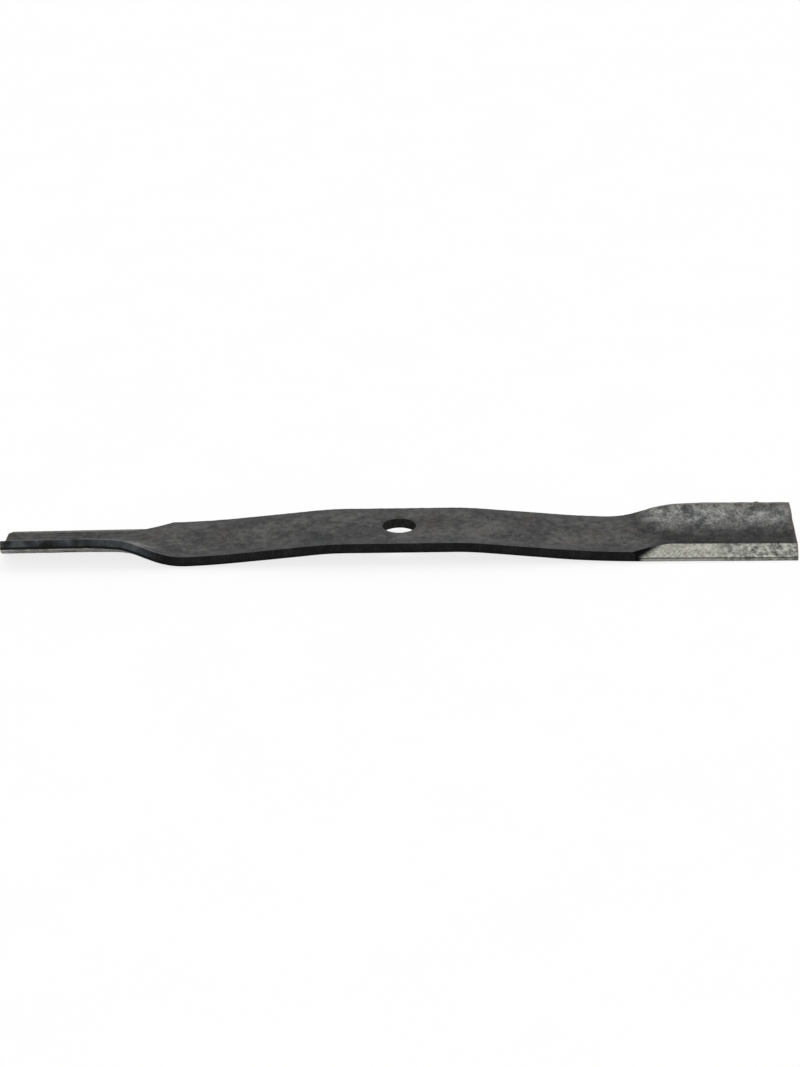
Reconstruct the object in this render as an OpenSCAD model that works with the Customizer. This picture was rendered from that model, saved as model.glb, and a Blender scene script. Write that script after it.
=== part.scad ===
// Rotary mower blade: one flat steel bar, bored in the middle, with arms that fall away from the
// seat and two tips that each carry a curled lift wing and a ground cutting edge.
// The origin is the middle of the bore, half way through the bar. X runs along the blade, Z is up.
// The two ends are alike and turned half a turn about Z. Lengths are in millimetres.

/* [Bar] */
// Overall length from tip to tip, which is the diameter of the circle that the tips sweep
blade_l = 473; // [440:1:540]
// Width of the bar
blade_w = 51; // [46:0.5:58]
// Thickness of the bar
blade_t = 6; // [5:0.1:8]
// Radius of the rolled long edges
edge_r = 0.6; // [0.3:0.1:1.2]

/* [Seat] */
// Diameter of the bore
bore_d = 20; // [12:0.5:28]
// Width of the broken edge at each mouth of the bore
bore_break = 0.5; // [0.2:0.1:1]
// Length of the flat seat between the inner bends
seat_l = 61; // [44:1:70]

/* [Arms] */
// Angle at which the arms fall away from the seat
arm_angle = 5.5; // [3:0.25:8]
// Radius of the bends between seat and arms
inner_bend_r = 220; // [100:10:280]
// Radius of the bends between arms and tips
outer_bend_r = 570; // [200:10:600]
// Distance from the bore to the middle of each outer bend
outer_bend_x = 117; // [110:1:126]
// Angle at which the tips still fall
tip_angle = 0.5; // [0:0.1:1.5]

/* [Lift wing] */
// Width of the strip that curls up, measured round the curl
wing_w = 35; // [24:0.5:36]
// Angle of the curl at the free edge
wing_angle = 41; // [20:1:55]
// Distance from the bore to the first rise of the wing
wing_start_x = 122; // [116:1:130]
// Length over which the wing makes most of its rise
wing_rise_l = 46; // [30:1:60]
// Distance from the bore to the full curl
wing_full_x = 186; // [180:1:200]

/* [Cutting edge] */
// Width of the ground bevel across the blade
bevel_w = 11.5; // [7:0.5:14]
// Height of the blunt land under the bevel
land_h = 1.8; // [0.6:0.1:3]
// Distance from the bore to the full depth of the bevel at the edge
bevel_x = 148; // [142:1:170]
// Radius of the scoop in which the bevel ends
scoop_r = 8; // [3:0.5:12]
// Angle of the scoop to the cutting edge
scoop_angle = 40; // [30:1:70]

/* [Hidden] */

// Spans across the bar, and steps round a rolled edge or down the ground edge
across_n = 9;
edge_n = 4;
// Steps along an inner bend, up to the scoop, along the scoop and on to the full curl
bend_n = 4;
approach_n = 9;
scoop_n = 10;
curl_n = 6;

// Share of the curl in the main rise, how late that rise gathers, and length of the slow finish
rise_share = 0.9;
rise_power = 1.5;
finish_l = 26;

half_l = blade_l / 2;
half_w = blade_w / 2;
half_t = blade_t / 2;
bore_r = bore_d / 2;
// How far a cutting shape stands out of the bar
clear = 2;

// Ends of the bends along X, and how far the middle line has fallen there
inner_x0 = seat_l / 2;
inner_x1 = inner_x0 + inner_bend_r * sin(arm_angle);
outer_half = outer_bend_r * (sin(arm_angle) - sin(tip_angle)) / 2;
outer_x0 = outer_bend_x - outer_half;
outer_x1 = outer_bend_x + outer_half;
inner_fall = inner_bend_r * (1 - cos(arm_angle));
arm_fall = inner_fall + (outer_x0 - inner_x1) * tan(arm_angle);
outer_fall = arm_fall + outer_bend_r * (cos(tip_angle) - cos(arm_angle));

// Depth of the grinding at the edge, its slope, and the ends of its scoop along X
bevel_h = blade_t - land_h;
bevel_slope = bevel_h / bevel_w;
scoop_x0 = bevel_x - sqrt(bevel_h * (2 * scoop_r - bevel_h)) / sin(scoop_angle);
scoop_x1 = bevel_x + bevel_w / tan(scoop_angle);

// Smooth step from 0 to 1 as t goes from 0 to 1
function ease(t) =
    let (u = min(max(t, 0), 1))
    u * u * (3 - 2 * u);

// Angle at which the middle line falls at distance x from the bore
function fall_angle(x) =
    x <= inner_x0 ? 0
    : x <= inner_x1 ? asin((x - inner_x0) / inner_bend_r)
    : x <= outer_x0 ? arm_angle
    : x <= outer_x1 ? asin(sin(arm_angle) - (x - outer_x0) / outer_bend_r)
    : tip_angle;

// Height of the middle line at distance x from the bore
function height(x) =
    let (a = fall_angle(x))
    x <= inner_x1 ? -inner_bend_r * (1 - cos(a))
    : x <= outer_x0 ? -inner_fall - (x - inner_x1) * tan(arm_angle)
    : x <= outer_x1 ? -arm_fall - outer_bend_r * (cos(a) - cos(arm_angle))
    : -outer_fall - (x - outer_x1) * tan(tip_angle);

// Angle of the curl at its free edge, at distance x from the bore
function curl_angle(x) =
    let (rise = pow(ease((x - wing_start_x) / wing_rise_l), rise_power))
    let (finish = ease((x - wing_full_x + finish_l) / finish_l))
    wing_angle * (rise_share * rise + (1 - rise_share) * finish);

// Place in the section of a point of the flat bar, at u across and n above the middle, once curled
function curled(u, n, angle) =
    let (t = u - half_w + wing_w)
    let (turn = t > 0 ? angle * t / wing_w : 0)
    let (r = turn > 0 ? t / (turn * PI / 180) : 0)
    turn > 0
        ? [u - t + (r - n) * sin(turn), r - (r - n) * cos(turn)]
        : [u, n];

// How far the floor of the cut has risen in the scoop, at distance x from the bore and v from the edge
function scoop_lift(x, v) =
    let (q = max((bevel_x - x) * sin(scoop_angle) + v * cos(scoop_angle), 0))
    scoop_r - sqrt(max(scoop_r * scoop_r - q * q, 0));

// Depth of the cut below the top face
function cut_depth(x, v) = bevel_slope * (bevel_w - v) - scoop_lift(x, v);

// Width of the cut on the top face at x: where the scoop's arc meets that face, or the whole bevel
function cut_width(x) =
    let (k = cos(scoop_angle), q = (bevel_x - x) * sin(scoop_angle), r = scoop_r - bevel_h)
    let (a = bevel_slope * bevel_slope + k * k, b = bevel_slope * r + q * k)
    let (c = r * r + q * q - scoop_r * scoop_r)
    x <= scoop_x0 ? 0
    : x >= scoop_x1 ? bevel_w
    : (sqrt(max(b * b - a * c, 0)) - b) / a;

// Rolled edge of the bar in the quarter that starts at an angle
function rolled_edge(side_u, side_n, from) =
    [for (i = [0 : edge_n])
        let (a = from + 90 * i / edge_n)
        [side_u * (half_w - edge_r) + edge_r * cos(a), side_n * (half_t - edge_r) + edge_r * sin(a)]];

// Cutting edge from the top face down: ground where the cut is wider than the rolled edge
function cutting_edge(x) =
    let (w = cut_width(x))
    w <= edge_r ? rolled_edge(-1, 1, 90)
    : [for (i = [0 : edge_n])
        let (v = w * (1 - i / edge_n))
        [v - half_w, half_t - max(cut_depth(x, v), 0)]];

// Points between two ends across the bar
function spans(u0, u1, n) = [for (i = [1 : across_n - 1]) [u0 + (u1 - u0) * i / across_n, n]];

// Section of the flat bar at x, from the wing's edge over the top to the cutting edge and back below
function flat_section(x) =
    let (cutting = cutting_edge(x), inner_u = half_w - edge_r)
    concat(
        rolled_edge(1, 1, 0),
        spans(inner_u, cutting[0][0], half_t),
        cutting,
        rolled_edge(-1, -1, 180),
        spans(-inner_u, inner_u, -half_t),
        rolled_edge(1, -1, 270)
    );

// Place on the formed blade of a point of the flat section at x
function formed(x, p) =
    let (a = fall_angle(x), c = curled(p[0], p[1], curl_angle(x)))
    [x + c[1] * sin(a), c[0], height(x) + c[1] * cos(a)];

// Section of the formed blade at x, square to the middle line
function section(x) = [for (p = flat_section(x)) formed(x, p)];

// Last section, where the bar is cut off along the circle that the tips sweep
function end_section() =
    [for (p = flat_section(half_l)) formed(sqrt(half_l * half_l - p[0] * p[0]), p)];

// Distances from the bore at which an arm and its tip have a section, up to the full curl
tip_x0 = min(outer_x0, wing_start_x);
tip_x1 = max(wing_full_x, outer_x1, scoop_x1 + clear);
function steps(x0, x1, n) = [for (i = [1 : n]) x0 + (x1 - x0) * i / n];
stations = concat(
    [inner_x0],
    steps(inner_x0, inner_x1, bend_n),
    [tip_x0],
    steps(tip_x0, scoop_x0, approach_n),
    steps(scoop_x0, scoop_x1, scoop_n),
    steps(scoop_x1, tip_x1, curl_n)
);

// Skin through a row of rings with equal numbers of points; the last ring is closed by strips from
// its top to its underside, so that it may bow
module loft(rings) {
    m = len(rings[0]);
    n = len(rings);
    first_cap = [for (i = [0 : m - 1]) i];
    last_cap = [for (i = [0 : m / 2 - 2])
        let (a = (n - 1) * m + i, b = n * m - 1 - i)
        each [[a + 1, a, b], [a + 1, b, b - 1]]];
    skin = [for (k = [0 : n - 2], i = [0 : m - 1])
        let (a = k * m + i, b = k * m + (i + 1) % m)
        each [[a, b + m, b], [a, a + m, b + m]]];
    polyhedron(points = [for (ring = rings) each ring], faces = concat([first_cap], last_cap, skin));
}

// One arm and tip: the bar bent down, curled up along one edge and ground along the other
module arm_and_tip() {
    loft(concat([for (x = stations) section(x)], [end_section()]));
}

// The flat length of bar between the inner bends
module seat() {
    rotate([90, 0, 90])
        linear_extrude(seat_l, center = true)
            polygon(flat_section(0));
}

// What the punch takes out: the bore, wider at both mouths
module bore_cut() {
    mouth_r = bore_r + bore_break + clear;
    mouth_z = half_t + clear;
    wall_z = half_t - bore_break;
    rotate_extrude($fn = 96)
        polygon([[0, -mouth_z], [mouth_r, -mouth_z], [bore_r, -wall_z],
                 [bore_r, wall_z], [mouth_r, mouth_z], [0, mouth_z]]);
}

module blade() {
    color("dimgray") {
        difference() {
            seat();
            bore_cut();
        }
        for (turn = [0, 180])
            rotate([0, 0, turn])
                arm_and_tip();
    }
}

blade();
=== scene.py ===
"""Rotary mower blade: the finely modelled bar, its studio and its camera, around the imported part."""
import math

import bpy
import numpy as np
from mathutils import Matrix, Vector, noise


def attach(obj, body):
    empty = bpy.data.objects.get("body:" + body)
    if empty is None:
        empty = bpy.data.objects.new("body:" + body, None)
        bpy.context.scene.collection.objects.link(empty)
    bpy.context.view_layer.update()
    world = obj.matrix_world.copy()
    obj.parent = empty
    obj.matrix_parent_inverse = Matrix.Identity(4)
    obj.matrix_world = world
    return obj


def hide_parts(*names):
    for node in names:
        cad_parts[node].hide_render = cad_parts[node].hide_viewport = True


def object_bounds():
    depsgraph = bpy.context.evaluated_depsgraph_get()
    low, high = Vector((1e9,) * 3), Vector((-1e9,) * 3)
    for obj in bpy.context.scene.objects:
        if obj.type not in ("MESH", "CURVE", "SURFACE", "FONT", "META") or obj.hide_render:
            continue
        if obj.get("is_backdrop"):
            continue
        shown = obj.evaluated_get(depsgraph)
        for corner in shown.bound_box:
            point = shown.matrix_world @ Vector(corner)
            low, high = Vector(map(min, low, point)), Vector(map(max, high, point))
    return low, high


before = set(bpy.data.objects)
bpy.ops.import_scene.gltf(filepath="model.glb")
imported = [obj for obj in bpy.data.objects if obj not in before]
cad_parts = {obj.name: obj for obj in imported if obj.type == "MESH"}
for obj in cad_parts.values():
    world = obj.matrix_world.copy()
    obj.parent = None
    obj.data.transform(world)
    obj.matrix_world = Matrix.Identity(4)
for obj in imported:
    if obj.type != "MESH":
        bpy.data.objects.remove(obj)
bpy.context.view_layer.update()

# The script works in millimetres and turns them into metres where it makes the mesh
MM = 0.001

# Flat bar, as in the solid, but with the crisper edges that the photo shows
BLADE_L, BLADE_W, BLADE_T = 473.0, 51.0, 6.0
HALF_L, HALF_W, HALF_T = BLADE_L / 2, BLADE_W / 2, BLADE_T / 2
EDGE_R = 0.25
END_R = 0.4

# Bore in the middle of the flat seat, with the rims that the punch left
BORE_R = 10.0
UPPER_RIM_R, LOWER_RIM_R = 0.15, 0.10
SEAT_L = 61.0

# Fall of the arms from the seat to the tips
ARM_ANGLE, TIP_ANGLE = math.radians(5.5), math.radians(0.5)
INNER_R, OUTER_R = 220.0, 570.0
OUTER_X = 117.0
INNER_X0 = SEAT_L / 2
INNER_X1 = INNER_X0 + INNER_R * math.sin(ARM_ANGLE)
OUTER_HALF = OUTER_R * (math.sin(ARM_ANGLE) - math.sin(TIP_ANGLE)) / 2
OUTER_X0, OUTER_X1 = OUTER_X - OUTER_HALF, OUTER_X + OUTER_HALF
INNER_FALL = INNER_R * (1 - math.cos(ARM_ANGLE))
ARM_FALL = INNER_FALL + (OUTER_X0 - INNER_X1) * math.tan(ARM_ANGLE)
OUTER_FALL = ARM_FALL + OUTER_R * (math.cos(TIP_ANGLE) - math.cos(ARM_ANGLE))

# Lift wing
WING_W, WING_ANGLE = 35.0, math.radians(41.0)
WING_X0, WING_RISE, WING_X1 = 122.0, 46.0, 186.0
RISE_SHARE, RISE_POWER, FINISH_L = 0.9, 1.5, 26.0

# Ground cutting edge, and the scoop that the wheel leaves where the bevel begins
BEVEL_W, LAND_H, BEVEL_X = 11.5, 1.8, 148.0
SCOOP_R, SCOOP_ANGLE = 8.0, math.radians(40.0)
BEVEL_H = BLADE_T - LAND_H
BEVEL_SLOPE = BEVEL_H / BEVEL_W
SCOOP_X0 = BEVEL_X - math.sqrt(BEVEL_H * (2 * SCOOP_R - BEVEL_H)) / math.sin(SCOOP_ANGLE)
SCOOP_X1 = BEVEL_X + BEVEL_W / math.tan(SCOOP_ANGLE)

# Spans of the mesh: round a section, along one half of the blade, and round the bore
EDGE_N, TOP_N, SIDE_N = 12, 40, 6
CHAIN_N = 2 * EDGE_N + TOP_N
RING_N = 2 * (CHAIN_N + SIDE_N)
SEAT_N, ARM_N, SCOOP_N, TIP_N, END_N = 24, 74, 40, 62, 5
BORE_BLOCK, PATCH_N, RIM_N, WALL_N = 11, 5, 6, 8

MILL, SIDE, GROUND = range(3)


def ease(t):
    t = np.clip(t, 0.0, 1.0)
    return t * t * (3 - 2 * t)


def fall_angle(x):
    if x <= INNER_X0:
        return 0.0
    if x <= INNER_X1:
        return math.asin((x - INNER_X0) / INNER_R)
    if x <= OUTER_X0:
        return ARM_ANGLE
    if x <= OUTER_X1:
        return math.asin(math.sin(ARM_ANGLE) - (x - OUTER_X0) / OUTER_R)
    return TIP_ANGLE


def mid_height(x):
    a = fall_angle(x)
    if x <= INNER_X1:
        return -INNER_R * (1 - math.cos(a))
    if x <= OUTER_X0:
        return -INNER_FALL - (x - INNER_X1) * math.tan(ARM_ANGLE)
    if x <= OUTER_X1:
        return -ARM_FALL - OUTER_R * (math.cos(a) - math.cos(ARM_ANGLE))
    return -OUTER_FALL - (x - OUTER_X1) * math.tan(TIP_ANGLE)


def curl_angle(x):
    rise = ease((x - WING_X0) / WING_RISE) ** RISE_POWER
    finish = ease((x - WING_X1 + FINISH_L) / FINISH_L)
    return WING_ANGLE * (RISE_SHARE * rise + (1 - RISE_SHARE) * finish)


def scoop_reach(x, v):
    """How far into the wheel's arc a point of the cut lies, across the scoop."""
    return np.maximum((BEVEL_X - x) * math.sin(SCOOP_ANGLE) + v * math.cos(SCOOP_ANGLE), 0)


def cut_depth(x, v):
    lift = SCOOP_R - np.sqrt(np.maximum(SCOOP_R ** 2 - scoop_reach(x, v) ** 2, 0))
    return BEVEL_SLOPE * (BEVEL_W - v) - lift


def cut_width(x):
    """Width of the ground cut on the top face at a place along the blade."""
    if x <= SCOOP_X0:
        return 0.0
    if x >= SCOOP_X1:
        return BEVEL_W
    k, q, r = math.cos(SCOOP_ANGLE), (BEVEL_X - x) * math.sin(SCOOP_ANGLE), SCOOP_R - BEVEL_H
    a = BEVEL_SLOPE ** 2 + k * k
    b = BEVEL_SLOPE * r + q * k
    c = r * r + q * q - SCOOP_R ** 2
    return (math.sqrt(max(b * b - a * c, 0)) - b) / a


def rolled_edge(side, face, first, last):
    """A rounded edge of the flat bar, from one angle of its arc to another."""
    a = np.radians(np.linspace(first, last, EDGE_N + 1))
    u = side * (HALF_W - EDGE_R) + EDGE_R * np.cos(a)
    n = face * (HALF_T - EDGE_R) + EDGE_R * np.sin(a)
    return np.stack([u, n], 1)


def ground_edge(x, width):
    v = width * np.linspace(1, 0, EDGE_N + 1)
    return np.stack([v - HALF_W, HALF_T - cut_depth(x, v)], 1)


def span(start, stop, count):
    """The points between two points, without both of them."""
    t = np.linspace(0, 1, count + 1)[1:-1, None]
    return start + (stop - start) * t


def flat_ring(x):
    """The bar's section before it is curled, as (across, through), from the wing's top edge round."""
    width = cut_width(x)
    wing_top = rolled_edge(1, 1, 0, 90)
    cutting = ground_edge(x, width) if width > EDGE_R else rolled_edge(-1, 1, 90, 180)
    cutting_low = rolled_edge(-1, -1, 180, 270)
    wing_low = rolled_edge(1, -1, 270, 360)
    return np.concatenate([
        wing_top, span(wing_top[-1], cutting[0], TOP_N), cutting,
        span(cutting[-1], cutting_low[0], SIDE_N), cutting_low,
        span(cutting_low[-1], wing_low[0], TOP_N), wing_low,
        span(wing_low[-1], wing_top[0], SIDE_N),
    ])


def inset(ring, amount):
    """The section drawn in on all sides, for the rounded edges of the bar's end."""
    along = np.roll(ring, -1, 0) - np.roll(ring, 1, 0)
    along /= np.linalg.norm(along, axis=1)[:, None]
    return ring + amount * np.stack([-along[:, 1], along[:, 0]], 1)


def curled(ring, angle):
    """Bends the wing's share of a section up round one arc."""
    u, n = ring[:, 0], ring[:, 1]
    t = u - HALF_W + WING_W
    if angle < 1e-6:
        return u, n
    turn = np.maximum(angle * t / WING_W, 0)
    r = WING_W / angle
    bent = t > 0
    return (np.where(bent, u - t + (r - n) * np.sin(turn), u),
            np.where(bent, r - (r - n) * np.cos(turn), n))


def bowed(x, u):
    """Place of a section's points along the blade.

    Past the full curl they bow towards the circle that the tips sweep.
    """
    share = max(0.0, (x - WING_X1) / (HALF_L - WING_X1))
    return x + share * (np.sqrt(HALF_L ** 2 - u ** 2) - HALF_L)


def placed(x, ring):
    """A flat section at its place on the bent and curled blade."""
    across, through = curled(ring, curl_angle(x))
    a = fall_angle(x)
    along = bowed(x, ring[:, 0])
    height = mid_height(x) - (along - x) * math.tan(a)
    return np.stack([along + through * math.sin(a), across, height + through * math.cos(a)], 1)


# How far past the scoop's first touch the side below it is bare steel too
LAND_LAG = 1.5


def span_finishes(x):
    """The finish of each strip of faces that starts at this station.

    The cut sides take in the upper rolled edges.
    """
    cutting = GROUND if cut_width(x) > EDGE_R else SIDE
    cutting_side = GROUND if x > SCOOP_X0 + LAND_LAG else SIDE
    return np.repeat([SIDE, MILL, cutting, cutting_side, MILL, SIDE],
                     [EDGE_N, TOP_N, EDGE_N, SIDE_N, 2 * EDGE_N + TOP_N, SIDE_N])


# Share of the full curl at which a wing counts as curled, and how far the wear reaches over the top
# face and down the side, in millimetres
CURLED_SHARE = 2 / 3
WEAR_REACH, WEAR_DEPTH = 1.1, 0.12


def ring_marks(x, ring):
    """The marks of a section's points, in the order of MARKS.

    They are the share of the curl, the wear of the top edges, the reach into the wheel's scoop and
    the depth below the top face.
    """
    u, n = ring[:, 0], ring[:, 1]
    raised = min(curl_angle(x) / (WING_ANGLE * CURLED_SHARE), 1)
    curl = np.clip((u - HALF_W + WING_W) / WING_W, 0, 1) * raised
    to_edge = np.maximum(np.minimum(HALF_W - np.abs(u), HALF_L - x), 0)
    wear = np.exp(-to_edge / WEAR_REACH)
    # On the wing the mark reaches further down the side, which also widens the painted highlight along its
    # crease
    wear *= np.exp(-np.maximum(HALF_T - n, 0) / (WEAR_DEPTH * (1 + curl)))
    scoop = np.zeros(RING_N)
    if x > SCOOP_X0:
        cut = slice(EDGE_N + TOP_N, CHAIN_N + SIDE_N + EDGE_N + 1)
        scoop[cut] = np.clip(scoop_reach(x, u[cut] + HALF_W) / SCOOP_R, 0, 1)
    shear = np.clip(0.5 - n / BLADE_T, 0, 1)
    return np.stack([curl, wear, scoop, shear], 1)


MARKS = ("curl", "wear", "scoop", "shear")


def half_stations():
    """Places along one half of the blade, from the bore to the rounded end, each with its inset."""
    spans = [(0, INNER_X0, SEAT_N), (INNER_X0, SCOOP_X0, ARM_N),
             (SCOOP_X0, SCOOP_X1, SCOOP_N), (SCOOP_X1, HALF_L - END_R, TIP_N)]
    plain = [x for a, b, n in spans for x in np.linspace(a, b, n + 1)[:-1]]
    turn = np.linspace(0, math.pi / 2, END_N + 1)
    ends = zip(HALF_L - END_R + END_R * np.sin(turn), END_R * (1 - np.cos(turn)))
    return [(x, 0.0) for x in plain] + list(ends)


class Builder:
    """Collects points, faces and their finishes for one mesh."""

    def __init__(self):
        self.points, self.marks, self.faces, self.finishes = [], [], [], []

    def add(self, points, marks):
        first = sum(len(p) for p in self.points)
        self.points.append(points)
        self.marks.append(marks)
        return first + np.arange(len(points))

    def quads(self, a, b, c, d, finishes):
        self.faces += list(zip(a.tolist(), b.tolist(), c.tolist(), d.tolist()))
        self.finishes += list(np.broadcast_to(finishes, a.shape).tolist())


def add_half(build, side):
    """The rings of one half, all numbered as on the right half, and the finishes of their strips."""
    order = np.arange(RING_N) if side > 0 else (CHAIN_N - np.arange(RING_N)) % RING_N
    strip = np.arange(RING_N) if side > 0 else (CHAIN_N - 1 - np.arange(RING_N)) % RING_N
    rings, finishes = [], []
    for x, drawn_in in half_stations():
        flat = flat_ring(x)
        points = placed(x, inset(flat, drawn_in))[order] * (side, side, 1)
        rings.append(build.add(points, ring_marks(x, flat)[order]))
        finishes.append(span_finishes(x)[strip])
    return rings, finishes


def in_bore_block(column):
    """Strips of the top and of the underside that the bore's patch takes up."""
    top = column - EDGE_N - TOP_N // 2
    under = column - (CHAIN_N + SIDE_N) - EDGE_N - TOP_N // 2
    on_top = (-BORE_BLOCK <= top) & (top < BORE_BLOCK)
    return on_top | ((-BORE_BLOCK <= under) & (under < BORE_BLOCK))


def add_strips(build, rings, finishes, side):
    """The faces between the rings of one half, open where the bore's patch goes."""
    k = np.arange(RING_N)
    after = (k + 1) % RING_N
    for i in range(len(rings) - 1):
        keep = ~in_bore_block(k) if i < BORE_BLOCK else np.full(RING_N, True)
        near, far = (rings[i], rings[i + 1]) if side > 0 else (rings[i + 1], rings[i])
        corners = near[k], near[after], far[after], far[k]
        build.quads(*(corner[keep] for corner in corners), finishes[i][keep])


def add_end(build, ring, side):
    """The cut end of the bar, as a grid that the last ring bounds."""
    upper = ring[:CHAIN_N + 1]
    lower = ring[CHAIN_N + SIDE_N:2 * CHAIN_N + SIDE_N + 1][::-1]
    down = ring[CHAIN_N:CHAIN_N + SIDE_N + 1]
    up = np.append(ring[2 * CHAIN_N + SIDE_N:], ring[0])[::-1]
    points, marks = np.concatenate(build.points), np.concatenate(build.marks)
    rows = [upper]
    for j in range(1, SIDE_N):
        t = j / SIDE_N
        inner = slice(1, CHAIN_N)
        middle = build.add(points[upper[inner]] * (1 - t) + points[lower[inner]] * t,
                           marks[upper[inner]] * (1 - t) + marks[lower[inner]] * t)
        rows.append(np.concatenate([[up[j]], middle, [down[j]]]))
    rows.append(lower)
    for high, low in zip(rows, rows[1:]):
        a, b, c, d = high[:-1], high[1:], low[1:], low[:-1]
        build.quads(*((a, d, c, b) if side < 0 else (a, b, c, d)), SIDE)


def bore_boundary(right, left, row):
    """The points round the square that the bore's patch fills, on the top or the underside."""
    first = EDGE_N + TOP_N // 2 if row > 0 else CHAIN_N + SIDE_N + EDGE_N + TOP_N // 2
    along = range(-BORE_BLOCK, BORE_BLOCK)
    def at(i, j):
        ring = right[i] if i >= 0 else left[-i]
        return ring[first - j if row > 0 else first + j]
    return np.array([at(BORE_BLOCK, j) for j in along] + [at(-i, BORE_BLOCK) for i in along]
                    + [at(-BORE_BLOCK, -j) for j in along] + [at(i, -BORE_BLOCK) for i in along])


# Share of wear on the bore's rims
RIM_WEAR = 0.4


def add_bore(build, right, left):
    """The seat round the bore, its two rounded rims and its wall."""
    points = np.concatenate(build.points)
    sides = {}
    for row in (1, -1):
        outer = bore_boundary(right, left, row)
        rim_r = UPPER_RIM_R if row > 0 else LOWER_RIM_R
        at = points[outer]
        turn = np.arctan2(at[:, 1], at[:, 0])
        loops = [outer]
        circle = np.stack([np.cos(turn), np.sin(turn)], 1)
        rim = np.column_stack([(BORE_R + rim_r) * circle, at[:, 2]])
        for i in range(1, PATCH_N + 1):
            loops.append(build.add(at + (rim - at) * i / PATCH_N, bore_marks(at[:, 2])))
        for a in np.linspace(0, math.pi / 2, RIM_N + 1)[1:]:
            r = BORE_R + rim_r * (1 - math.sin(a))
            z = np.full(len(at), row * (HALF_T - rim_r * (1 - math.cos(a))))
            loops.append(build.add(np.column_stack([r * circle, z]), bore_marks(z, RIM_WEAR)))
        sides[row] = loops
        add_loops(build, loops[:PATCH_N + 1], MILL, row)
        add_loops(build, loops[PATCH_N:], SIDE, row)
    top, low = sides[1][-1], sides[-1][-1]
    walls = [top]
    points = np.concatenate(build.points)
    for i in range(1, WALL_N):
        t = i / WALL_N
        wall = points[top] * (1 - t) + points[low] * t
        walls.append(build.add(wall, bore_marks(np.zeros(len(top)))))
    add_loops(build, walls + [low], SIDE, 1)


def bore_marks(heights, wear=0.0):
    """The marks of points round the bore, by their height in the bar."""
    none = np.zeros(len(heights))
    return np.stack([none, none + wear, none, 0.5 - heights / BLADE_T], 1)


def add_loops(build, loops, finish, row):
    for a, b in zip(loops, loops[1:]):
        a1, b1 = np.roll(a, -1), np.roll(b, -1)
        build.quads(*((a, a1, b1, b) if row > 0 else (a, b, b1, a1)), finish)


def fractal(p, size, octaves=3):
    """Smooth noise about zero, with features of the given size in millimetres."""
    return noise.fractal(Vector(p) / size, 1.0, 2.0, octaves, noise_basis="PERLIN_ORIGINAL")


# A small burr that the shears have left on the free edge of one wing
BURR_X, BURR_L, BURR_H = 215.5, 0.8, 1.1

# Heights of the unevenness, each with the size of its features: long waves, which end at the flat
# seat, grain, marks of the shears, nicks in the worn edges, and dents of the wing and of its edge
WAVE, GRAIN, SHEARING = (0.10, 38), (0.025, 6), (0.07, 2.6)
NICK, DENT, EDGE_DENT = (0.10, 3.2), (0.10, 12), (0.22, 7)
SEAT_CALM, SEAT_FADE = 14.0, 20.0
NICK_BIAS = 0.15
# The marks of the shears are short along the bar and long down its side
SHEAR_ALONG, SHEAR_DOWN = 1.6, 0.5


def swell(p, kind, octaves=3):
    """Unevenness of one kind at a point."""
    height, size = kind
    return height * fractal(p, size, octaves)


def roughened(points, normals, marks, on_side):
    """Moves the points by the unevenness of a rolled, sheared and bent bar."""
    out = points.copy()
    for i, p in enumerate(points):
        curl, wear = marks[i][:2]
        off_seat = ease((abs(p[0]) - SEAT_CALM) / SEAT_FADE)
        sheared = (p[0] * SHEAR_ALONG, p[1], p[2] * SHEAR_DOWN)
        depth = off_seat * swell(p, WAVE, 2) + swell(p, GRAIN)
        depth += on_side[i] * swell(sheared, SHEARING)
        depth -= wear * NICK[0] * max(0.0, fractal(p, NICK[1]) + NICK_BIAS)
        depth += curl * swell(p, DENT) + curl * wear * swell(p, EDGE_DENT)
        depth += curl * wear * BURR_H * math.exp(-((p[0] - BURR_X) / BURR_L) ** 2)
        out[i] += normals[i] * depth
    return out


# Faces that meet at more than this angle keep a sharp edge
SHARP_ANGLE = math.radians(14)


def blade_object():
    """The whole blade as one closed mesh, with its marks as attributes of the points."""
    build = Builder()
    right, right_finishes = add_half(build, 1)
    left, left_finishes = add_half(build, -1)
    left[0] = right[0]
    add_strips(build, right, right_finishes, 1)
    add_strips(build, left, left_finishes, -1)
    add_end(build, right[-1], 1)
    add_end(build, left[-1], -1)
    add_bore(build, right, left)
    points, marks = np.concatenate(build.points), np.concatenate(build.marks)
    used, faces = np.unique(np.array(build.faces), return_inverse=True)
    points, marks, faces = points[used], marks[used], faces.reshape(-1, 4)
    mesh = bpy.data.meshes.new("mower_blade")
    mesh.from_pydata(points * MM, [], faces.tolist())
    mesh.polygons.foreach_set("material_index", build.finishes)
    mesh.update()
    normals = np.array([v.normal for v in mesh.vertices])
    on_side = np.zeros(len(points))
    on_side[faces[np.array(build.finishes) == SIDE].ravel()] = 1
    points = roughened(points, normals, marks, on_side)
    mesh.vertices.foreach_set("co", (points * MM).ravel())
    for i, name in enumerate(MARKS):
        layer = mesh.attributes.new(name, "FLOAT", "POINT")
        layer.data.foreach_set("value", marks[:, i].astype(np.float32))
    mesh.update()
    mesh.shade_smooth()
    mesh.set_sharp_from_angle(angle=SHARP_ANGLE)
    blade = bpy.data.objects.new("mower_blade", mesh)
    bpy.context.collection.objects.link(blade)
    return blade


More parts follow.
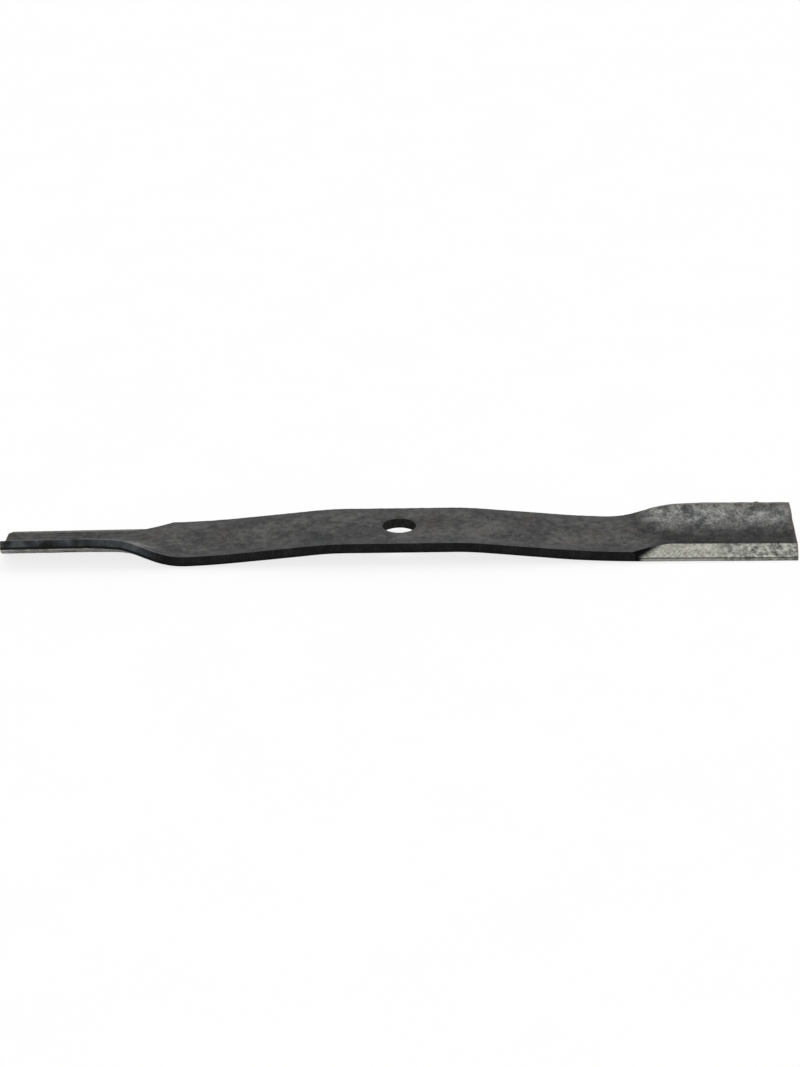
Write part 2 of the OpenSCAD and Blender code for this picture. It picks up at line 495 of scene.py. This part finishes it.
class Shade:
    """Adds nodes to one material; each method returns the output socket of the node that it adds."""

    def __init__(self, name, metallic, specular):
        self.material = bpy.data.materials.new(name)
        self.material.use_nodes = True
        self.tree = self.material.node_tree
        self.shader = self.tree.nodes["Principled BSDF"]
        self.shader.inputs["Metallic"].default_value = metallic
        self.shader.inputs["Specular IOR Level"].default_value = specular
        self.place = self.node("ShaderNodeTexCoord").outputs["Object"]

    def node(self, kind, **inputs):
        made = self.tree.nodes.new(kind)
        for name, value in inputs.items():
            self.feed(made.inputs[name.replace("_", " ")], value)
        return made

    def feed(self, socket, value):
        if isinstance(value, bpy.types.NodeSocket):
            self.tree.links.new(value, socket)
        else:
            socket.default_value = value

    def axis(self, name):
        return self.node("ShaderNodeSeparateXYZ", Vector=self.place).outputs[name]

    def along(self):
        """Distance from the bore along the blade, in metres."""
        return self.math("ABSOLUTE", self.axis("X"))

    def right_end(self, elsewhere):
        """1 at the right end of the blade, and the given share at the left end."""
        return self.range(self.axis("X"), -0.1, 0.1, elsewhere, 1)

    def across(self):
        """Distance from the middle line across the blade, in metres."""
        return self.math("ABSOLUTE", self.axis("Y"))

    def from_bore(self):
        """Distance from the bore's axis, in metres."""
        flat = self.node("ShaderNodeMapping", Vector=self.place)
        flat.inputs["Scale"].default_value = (1, 1, 0)
        far = self.node("ShaderNodeVectorMath", Vector=flat.outputs["Vector"])
        far.operation = "LENGTH"
        return far.outputs["Value"]

    def stretched(self, direction, length):
        """Place in the surface, drawn out along a direction in plan."""
        made = self.node("ShaderNodeMapping", Vector=self.place)
        made.vector_type = "TEXTURE"
        made.inputs["Rotation"].default_value = (0, 0, math.radians(direction))
        made.inputs["Scale"].default_value = (length, 1, 1)
        return made.outputs["Vector"]

    def noise(self, size, detail=3.0, roughness=0.55, place=None):
        """Noise from 0 to 1 with features of the given size in millimetres."""
        made = self.node("ShaderNodeTexNoise", Vector=place or self.place,
                         Scale=1 / (size * MM), Detail=detail, Roughness=roughness)
        return made.outputs["Fac"]

    def waver(self, size, amount):
        """Noise about zero, by which a border wavers."""
        return self.math("MULTIPLY", self.math("SUBTRACT", self.noise(size), 0.5), amount)

    def mark(self, name):
        made = self.node("ShaderNodeAttribute")
        made.attribute_name = name
        return made.outputs["Fac"]

    def worn_and_highlit(self):
        """Share of bright wear along the top edges, most on the wing, where it is partly a painted
        highlight.
        """
        uneven = self.math("MULTIPLY", self.math("ADD", self.noise(5, 4), self.mark("curl")), 0.6)
        return self.range(self.math("MULTIPLY", self.mark("wear"), uneven), 0.24, 0.60, 0, 0.8)

    def stained_end(self):
        """Share of brown stain on the last millimetres of each tip."""
        place = self.math("ADD", self.along(), self.waver(4, 0.006))
        return self.range(place, 0.2325, 0.2370, 0, 0.7)

    def math(self, operation, a, b=0.0):
        made = self.node("ShaderNodeMath")
        made.operation = operation
        self.feed(made.inputs[0], a)
        self.feed(made.inputs[1], b)
        return made.outputs["Value"]

    def range(self, value, low, high, to_low=0.0, to_high=1.0):
        """A smooth step from one value to another, as the given value goes from low to high."""
        made = self.node("ShaderNodeMapRange", Value=value, From_Min=low, From_Max=high,
                         To_Min=to_low, To_Max=to_high)
        made.interpolation_type = "SMOOTHSTEP"
        return made.outputs["Result"]

    def ramp(self, value, *stops):
        """Colours by value, from stops of a place and a colour."""
        made = self.node("ShaderNodeValToRGB", Fac=value)
        ramp = made.color_ramp
        while len(ramp.elements) < len(stops):
            ramp.elements.new(0.5)
        for element, (place, colour) in zip(ramp.elements, stops):
            element.position = place
            element.color = (*colour, 1)
        return made.outputs["Color"]

    def mix(self, share, a, b):
        made = self.tree.nodes.new("ShaderNodeMix")
        made.data_type = "RGBA"
        self.feed(made.inputs[0], share)
        for socket, colour in ((made.inputs[6], a), (made.inputs[7], b)):
            self.feed(socket, (*colour, 1) if isinstance(colour, tuple) else colour)
        return made.outputs[2]

    def bump(self, height, depth, below=None):
        """Relief of the given depth in millimetres, on top of the relief below it."""
        made = self.node("ShaderNodeBump", Height=height, Strength=1.0, Distance=depth * MM)
        if below:
            self.feed(made.inputs["Normal"], below)
        return made.outputs["Normal"]

    def finish(self, colour, roughness, normal):
        self.feed(self.shader.inputs["Base Color"], colour)
        self.feed(self.shader.inputs["Roughness"], roughness)
        self.feed(self.shader.inputs["Normal"], normal)
        return self.material


# Colours in linear light. All ends share one brown stain
END_STAIN = (0.080, 0.052, 0.040)
RUST, SCUFF, PIT = (0.060, 0.042, 0.030), (0.14, 0.138, 0.130), (0.012, 0.011, 0.010)
EDGE_BAND, BORE_SHADE = (0.040, 0.042, 0.045), (0.022, 0.021, 0.020)
WORN_SCALE_AND_HIGHLIGHT, WORN_SIDE_AND_HIGHLIGHT = (0.19, 0.188, 0.18), (0.24, 0.24, 0.236)
LOW_EDGE_SHADE, UNDER_RUST = (0.006, 0.006, 0.006), (0.090, 0.066, 0.048)
SIDE_RUST, SIDE_LOW_SHADE = (0.016, 0.010, 0.006), (0.003, 0.003, 0.003)
RUBBED_LAND, LAND_SHADOW, SCOOP_SHADE = (0.36, 0.36, 0.34), (0.025, 0.025, 0.023), (0.006, 0.006, 0.006)


def mill_scale():
    """Dark rolled and heated skin: mottled grey with faint rust, rubbed and painted lighter on the wings.
    """
    s = Shade("mill_scale", metallic=0.35, specular=0.35)
    clouds = s.noise(22, 3, place=s.stretched(0, 1.6))
    mottle = s.noise(4.6, 4, 0.62)
    grain = s.noise(1.2, 3, 0.65)
    tone = s.math("ADD", s.math("MULTIPLY", clouds, 0.34), s.math("MULTIPLY", mottle, 0.40))
    tone = s.math("ADD", tone, s.math("MULTIPLY", grain, 0.26))
    skin = s.ramp(tone, (0.39, (0.014, 0.015, 0.016)), (0.50, (0.036, 0.036, 0.035)),
                  (0.61, (0.080, 0.078, 0.072)))
    rust = s.range(s.noise(26, 4, place=s.stretched(70, 1.6)), 0.53, 0.70, 0, 0.55)
    skin = s.mix(rust, skin, RUST)
    crosswise = s.noise(1.0, 3, 0.6, place=s.stretched(90, 5))
    lengthwise = s.noise(1.0, 3, 0.6, place=s.stretched(0, 6))
    scuffs = s.math("MAXIMUM", crosswise, lengthwise)
    skin = s.mix(s.range(scuffs, 0.60, 0.72, 0, 0.45), skin, SCUFF)
    pits = s.range(s.noise(3.0, 2, 0.5), 0.34, 0.26, 0, 0.6)
    skin = s.mix(pits, skin, PIT)
    band = s.range(s.across(), 0.0165, 0.0195, 0, 0.55)
    skin = s.mix(band, skin, EDGE_BAND)
    # Painted shade in a soft ring round the bore
    bore_shade_share = s.range(s.from_bore(), 0.010, 0.016, 0.45, 0)
    skin = s.mix(bore_shade_share, skin, BORE_SHADE)
    skin = rubbed_and_shaded_wing(s, skin, mottle, grain)
    skin = s.mix(s.worn_and_highlit(), skin, WORN_SCALE_AND_HIGHLIGHT)
    skin = s.mix(s.stained_end(), skin, END_STAIN)
    skin = under_side(s, skin, mottle)
    rough = s.range(tone, 0.40, 0.60, 0.66, 0.42)
    relief = s.bump(mottle, 0.10)
    relief = s.bump(grain, 0.06, relief)
    relief = s.bump(s.noise(0.45, 2), 0.02, relief)
    return s.finish(skin, rough, relief)


def rubbed_and_shaded_wing(s, skin, mottle, grain):
    """Tops of the tips: painted shade by the bevel, speckled rub and painted light up the curl, brown free
    edge.

    The right rise has the rub and painted light, the left one hardly, and the left flat less painted shade.
    """
    curl = s.mark("curl")
    specks = s.math("ADD", s.math("MULTIPLY", mottle, 0.5), s.math("MULTIPLY", grain, 0.5))
    # Speckled die rub with painted light on the curl's turn, and painted shade on the flat beside the bevel
    light = s.ramp(specks, (0.38, (0.070, 0.073, 0.073)), (0.50, (0.185, 0.188, 0.179)),
                   (0.62, (0.320, 0.320, 0.298)))
    dark = s.ramp(specks, (0.38, (0.004, 0.004, 0.004)), (0.50, (0.009, 0.009, 0.009)),
                  (0.62, (0.026, 0.026, 0.024)))
    dark = s.mix(s.right_end(0.5), skin, dark)
    brown = s.ramp(specks, (0.38, (0.035, 0.028, 0.024)), (0.50, (0.105, 0.090, 0.076)),
                   (0.62, (0.19, 0.175, 0.155)))
    patches = s.range(s.noise(11, 4, 0.62, place=s.stretched(15, 1.4)), 0.47, 0.62, 0, 0.85)
    blue = s.ramp(specks, (0.38, (0.022, 0.026, 0.028)), (0.60, (0.090, 0.098, 0.100)))
    light = s.mix(patches, light, blue)
    uneven = s.math("ADD", curl, s.waver(9, 0.35))
    wing = s.mix(s.range(uneven, 0.16, 0.86), dark, light)
    wing = s.mix(s.range(uneven, 0.84, 1.02, 0, 0.75), wing, brown)
    place = s.math("ADD", s.along(), s.waver(12, 0.02))
    by_place = s.range(place, 0.140, 0.165)
    by_curl = s.math("MULTIPLY", s.range(uneven, 0.06, 0.28), s.right_end(0.15))
    return s.mix(s.math("MAXIMUM", by_place, by_curl), skin, wing)


def under_side(s, skin, mottle):
    """The face that lies down: painted shade at the lower edges, and stained, painted light under the wing.
    """
    shear = s.mark("shear")
    wing = s.math("MULTIPLY", s.range(s.mark("curl"), 0.30, 0.75), s.range(shear, 0.94, 0.97))
    # Painted shade on the lower rolled edges
    low_edge_shade = s.range(shear, 0.86, 0.92)
    # Painted light from the floor under the wing, mottled, with stains mixed in next
    bounce_light_and_stain = s.ramp(mottle, (0.36, (0.13, 0.127, 0.120)), (0.52, (0.27, 0.265, 0.252)),
                  (0.66, (0.42, 0.415, 0.40)))
    bounce_light_and_stain = s.mix(s.range(s.noise(12, 4), 0.52, 0.66, 0, 0.75), bounce_light_and_stain, UNDER_RUST)
    plain = s.mix(s.range(shear, 0.985, 1.0, 0, 0.5), LOW_EDGE_SHADE, bounce_light_and_stain)
    return s.mix(low_edge_shade, skin, s.mix(wing, plain, bounce_light_and_stain))


def sheared_steel():
    """Near-black cut faces: the sides, the ends and the wall of the bore, with streaks down the cut."""
    s = Shade("sheared_side", metallic=0.0, specular=0.12)
    streaks = s.node("ShaderNodeMapping", Vector=s.place)
    streaks.inputs["Scale"].default_value = (1, 1, 0.18)
    lines = s.noise(0.9, 3, 0.6, place=streaks.outputs["Vector"])
    patches = s.noise(9, 4, 0.6)
    tone = s.math("ADD", s.math("MULTIPLY", lines, 0.45), s.math("MULTIPLY", patches, 0.55))
    skin = s.ramp(tone, (0.34, (0.003, 0.003, 0.003)), (0.52, (0.006, 0.006, 0.006)),
                  (0.68, (0.016, 0.016, 0.015)))
    rust = s.range(s.noise(14, 4), 0.58, 0.74, 0, 0.5)
    skin = s.mix(rust, skin, SIDE_RUST)
    wall = s.range(s.from_bore(), 0.0104, 0.0112, 0.8, 0)
    punched = s.ramp(lines, (0.34, (0.010, 0.010, 0.010)), (0.66, (0.055, 0.052, 0.049)))
    skin = s.mix(wall, skin, punched)
    blue = s.ramp(patches, (0.36, (0.008, 0.008, 0.009)), (0.50, (0.030, 0.035, 0.039)),
                  (0.66, (0.070, 0.077, 0.082)))
    skin = s.mix(s.range(s.mark("curl"), 0.35, 0.8, 0, 0.9), skin, blue)
    # Edge wear, with a painted highlight along the wing's crease
    skin = s.mix(s.worn_and_highlit(), skin, WORN_SIDE_AND_HIGHLIGHT)
    skin = s.mix(s.stained_end(), skin, END_STAIN)
    # Painted shade: a black band on the lower part of the cut faces
    skin = s.mix(s.range(s.mark("shear"), 0.66, 0.74, 0, 0.95), skin, SIDE_LOW_SHADE)
    rough = s.range(tone, 0.3, 0.7, 0.75, 0.50)
    relief = s.bump(lines, 0.12)
    relief = s.bump(s.noise(0.5, 2), 0.04, relief)
    return s.finish(skin, rough, relief)


def ground_steel():
    """Bare steel from the wheel: crossing scratches, dull patches at the tip, painted shade in the scoop.
    """
    s = Shade("ground_bevel", metallic=0.75, specular=0.15)
    # Little reflection at a flat angle, so that the far bevel doesn't glare
    s.shader.inputs["Specular Tint"].default_value = (0.05, 0.05, 0.05, 1)
    one_way = s.noise(0.9, 3, 0.6, place=s.stretched(52, 24))
    other_way = s.noise(1.0, 3, 0.6, place=s.stretched(-50, 20))
    scratches = s.math("ADD", s.math("MULTIPLY", one_way, 0.55), s.math("MULTIPLY", other_way, 0.45))
    bright = s.ramp(scratches, (0.38, (0.160, 0.160, 0.138)), (0.5, (0.230, 0.231, 0.200)),
                    (0.62, (0.330, 0.330, 0.295)))
    dull = s.ramp(s.noise(3.6, 4, 0.66), (0.36, (0.042, 0.049, 0.044)),
                  (0.5, (0.182, 0.183, 0.165)), (0.64, (0.37, 0.37, 0.33)))
    outward = s.range(s.along(), 0.176, 0.212, -0.10, 0.22)
    patches = s.range(s.math("ADD", s.noise(16, 3), outward), 0.46, 0.64, 0, 0.92)
    skin = s.mix(patches, bright, dull)
    shear = s.mark("shear")
    # Painted shadow of the burr: a dark line along the top of the land
    line = s.math("MULTIPLY", s.range(shear, 0.635, 0.67), s.range(shear, 0.70, 0.735, 1, 0))
    land = s.range(shear, 0.70, 0.76, 0, 0.55)
    rubbed = s.math("SUBTRACT", land, s.math("MULTIPLY", patches, 0.5))
    skin = s.mix(s.math("MAXIMUM", rubbed, 0.0), skin, RUBBED_LAND)
    skin = s.mix(s.math("MULTIPLY", line, 0.85), skin, LAND_SHADOW)
    # Painted shade in the hollow of the wheel's scoop
    reach = s.math("ADD", s.mark("scoop"), s.math("MULTIPLY", s.noise(2, 3), 0.10))
    skin = s.mix(s.range(reach, 0.30, 0.66), skin, SCOOP_SHADE)
    skin = s.mix(s.stained_end(), skin, END_STAIN)
    rough = s.range(scratches, 0.35, 0.65, 0.5, 0.32)
    relief = s.bump(scratches, 0.03)
    relief = s.bump(s.noise(5, 3), 0.08, relief)
    return s.finish(skin, rough, relief)


# Share of plain white that the camera sees in the floor, over the lit paper with its shadow
WHITE_SHARE = 0.8


def floor_paper():
    """Pale paper that the camera sees almost white, and that keeps the blade's shadow."""
    s = Shade("floor_paper", metallic=0.0, specular=0.1)
    skin = s.ramp(s.noise(60, 4), (0.3, (0.925, 0.925, 0.92)), (0.7, (0.945, 0.945, 0.94)))
    s.finish(skin, s.range(s.noise(3, 3), 0.3, 0.7, 0.8, 0.95), s.bump(s.noise(1.5, 2), 0.02))
    seen = s.node("ShaderNodeLightPath").outputs["Is Camera Ray"]
    white = s.node("ShaderNodeEmission", Color=(1, 1, 1, 1), Strength=1.0)
    both = s.node("ShaderNodeMixShader", Fac=s.math("MULTIPLY", seen, WHITE_SHARE))
    s.feed(both.inputs[1], s.shader.outputs["BSDF"])
    s.feed(both.inputs[2], white.outputs["Emission"])
    s.feed(s.tree.nodes["Material Output"].inputs["Surface"], both.outputs["Shader"])
    return s.material


# Half the floor's side, in metres
FLOOR_HALF = 9.0


def add_floor(level):
    mesh = bpy.data.meshes.new("floor")
    signs = ((-1, -1), (1, -1), (1, 1), (-1, 1))
    corners = [(x * FLOOR_HALF, y * FLOOR_HALF, level) for x, y in signs]
    mesh.from_pydata(corners, [], [(0, 1, 2, 3)])
    mesh.materials.append(floor_paper())
    floor = bpy.data.objects.new("floor", mesh)
    bpy.context.collection.objects.link(floor)
    floor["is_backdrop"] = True


# Colours of the dome at the horizon and overhead, and the broad lamp's strength, width and tilt
DOME_LOW, DOME_HIGH = (0.58, 0.58, 0.59, 1), (0.94, 0.94, 0.93, 1)
LAMP_STRENGTH, LAMP_WIDTH = 0.75, math.radians(55)
LAMP_TILT = (math.radians(-18), math.radians(6), 0)


def add_studio():
    """A soft dome, brighter overhead than at the horizon, and one broad lamp above and behind the blade."""
    world = bpy.data.worlds.new("studio")
    world.use_nodes = True
    tree = world.node_tree
    up = tree.nodes.new("ShaderNodeSeparateXYZ")
    tree.links.new(tree.nodes.new("ShaderNodeTexCoord").outputs["Generated"], up.inputs[0])
    ramp = tree.nodes.new("ShaderNodeValToRGB")
    tree.links.new(up.outputs["Z"], ramp.inputs["Fac"])
    ramp.color_ramp.elements[0].color = DOME_LOW
    ramp.color_ramp.elements[1].color = DOME_HIGH
    tree.links.new(ramp.outputs["Color"], tree.nodes["Background"].inputs["Color"])
    bpy.context.scene.world = world
    lamp = bpy.data.lights.new("softbox", "SUN")
    lamp.energy = LAMP_STRENGTH
    lamp.angle = LAMP_WIDTH
    softbox = bpy.data.objects.new("softbox", lamp)
    softbox.rotation_euler = LAMP_TILT
    bpy.context.collection.objects.link(softbox)


# Camera, fitted to the blade's outline in the photo: angles in degrees, distances in millimetres,
# focal length and frame height in pixels
CAMERA_RISE, CAMERA_YAW, CAMERA_ROLL = 24.8046, -0.4164, -0.9018
CAMERA_AWAY = 1512.68
CAMERA_AIM = (0.3774, 0.0, -2.2137)
FOCAL_PIXELS, FRAME_PIXELS, SENSOR = 2531.18, 1067, 36.0


def add_camera():
    rise, yaw = math.radians(CAMERA_RISE), math.radians(CAMERA_YAW)
    level = math.cos(rise)
    ahead = Vector((math.sin(yaw) * level, math.cos(yaw) * level, -math.sin(rise)))
    right = ahead.cross(Vector((0, 0, 1))).normalized()
    right.rotate(Matrix.Rotation(-math.radians(CAMERA_ROLL), 3, ahead))
    above = right.cross(ahead)
    data = bpy.data.cameras.new("camera")
    data.sensor_width = SENSOR
    data.lens = FOCAL_PIXELS / FRAME_PIXELS * SENSOR
    camera = bpy.data.objects.new("camera", data)
    camera.matrix_world = Matrix((right, above, -ahead)).transposed().to_4x4()
    camera.location = (Vector(CAMERA_AIM) - ahead * CAMERA_AWAY) * MM
    bpy.context.collection.objects.link(camera)
    bpy.context.scene.camera = camera


blade = blade_object()
for make in (mill_scale, sheared_steel, ground_steel):
    blade.data.materials.append(make())
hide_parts("blade")
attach(blade, "root")
add_floor(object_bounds()[0].z)
add_studio()
add_camera()
bpy.context.scene.view_settings.view_transform = "Standard"
